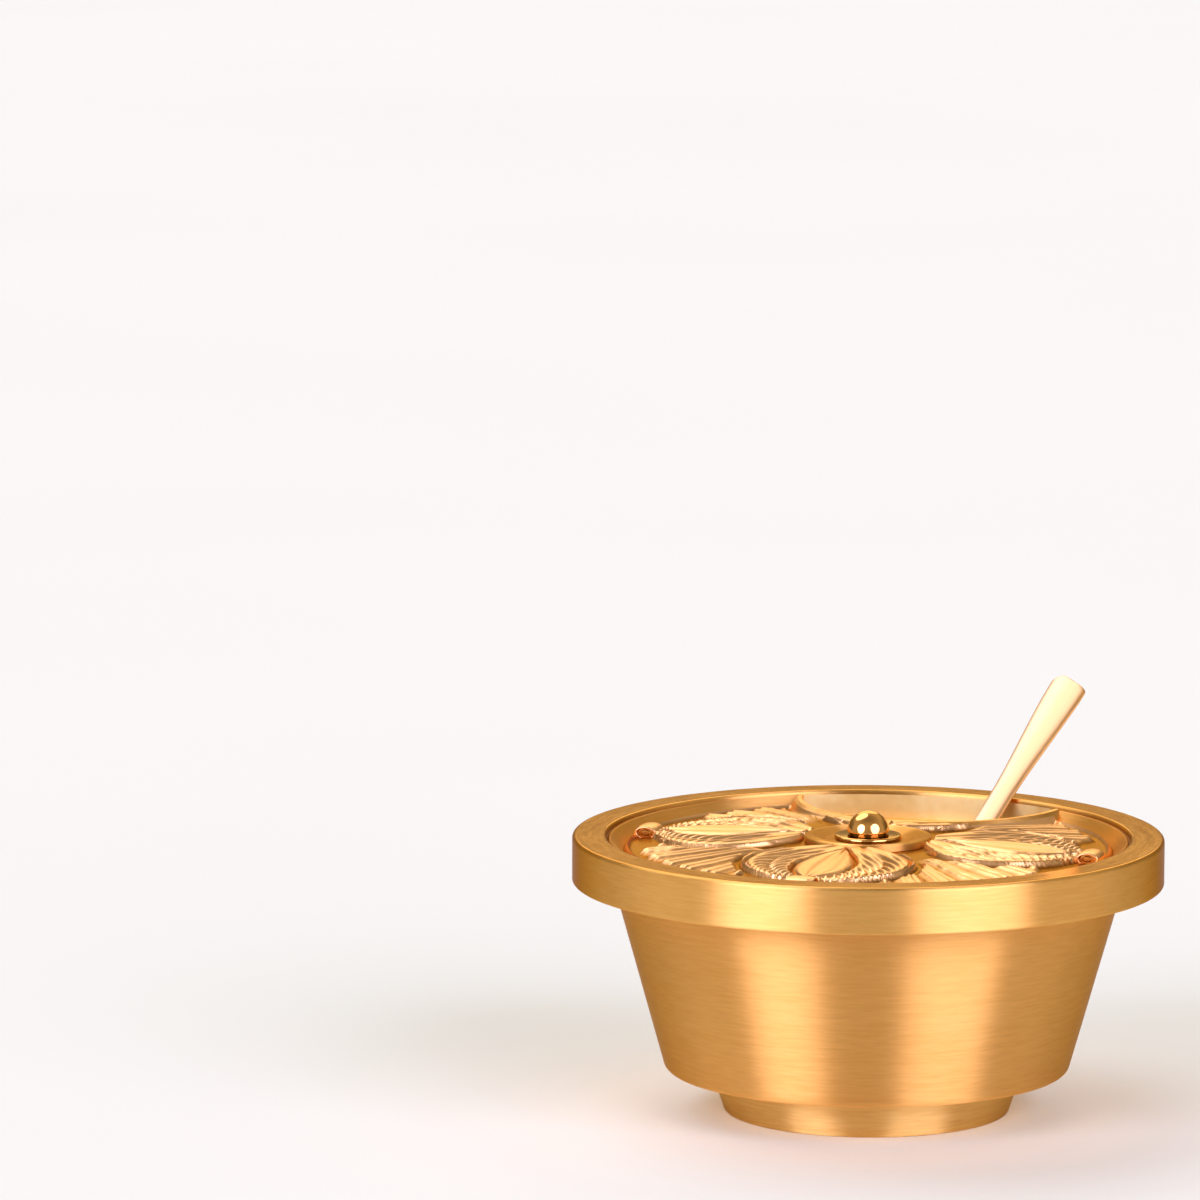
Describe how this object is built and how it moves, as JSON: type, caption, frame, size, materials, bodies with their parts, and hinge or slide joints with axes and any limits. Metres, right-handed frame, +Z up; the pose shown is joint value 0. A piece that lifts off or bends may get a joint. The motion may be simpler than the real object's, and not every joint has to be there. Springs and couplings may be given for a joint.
{
  "type": "incense boat",
  "caption": "Gilt brass incense boat: conical bowl with a flat rim and low foot, lift-off lid with palmette relief, ball knob and spoon opening, and a spoon that draws out.",
  "frame": {"origin": "centre of the foot on the table", "axes": "+Z up along the axis of the turned body, -Y to the front of the picture, +X to its right; the spoon leans to the back right"},
  "size_m": [0.102, 0.1103, 0.0669],
  "materials": {
    "brushed_gilt": "gilt, brushed round the axis",
    "cast_gilt": "gilt casting with a stippled ground",
    "polished_gilt": "gilt, polished",
    "plain_brass": "plain machined brass"
  },
  "bodies": {
    "body": {"bowl_shell": "brushed_gilt", "rim_band": "brushed_gilt", "foot_ring": "brushed_gilt"},
    "lid": {"lid_pan": "brushed_gilt", "lid_relief": "cast_gilt", "knob_plate": "polished_gilt", "knob": "polished_gilt", "lid_washer": "plain_brass", "lid_nut": "plain_brass"},
    "spoon": {"spoon": "polished_gilt"}
  },
  "joints": [
    {"name": "lid_lift", "type": "slide", "parent": "body", "child": "lid", "axis": [0, 0, 1], "range_m": [0, 0.06]},
    {"name": "spoon_draw", "type": "slide", "parent": "body", "child": "spoon", "axis": [0.4224, 0.631, 0.6508], "range_m": [0, 0.085]}
  ]
}
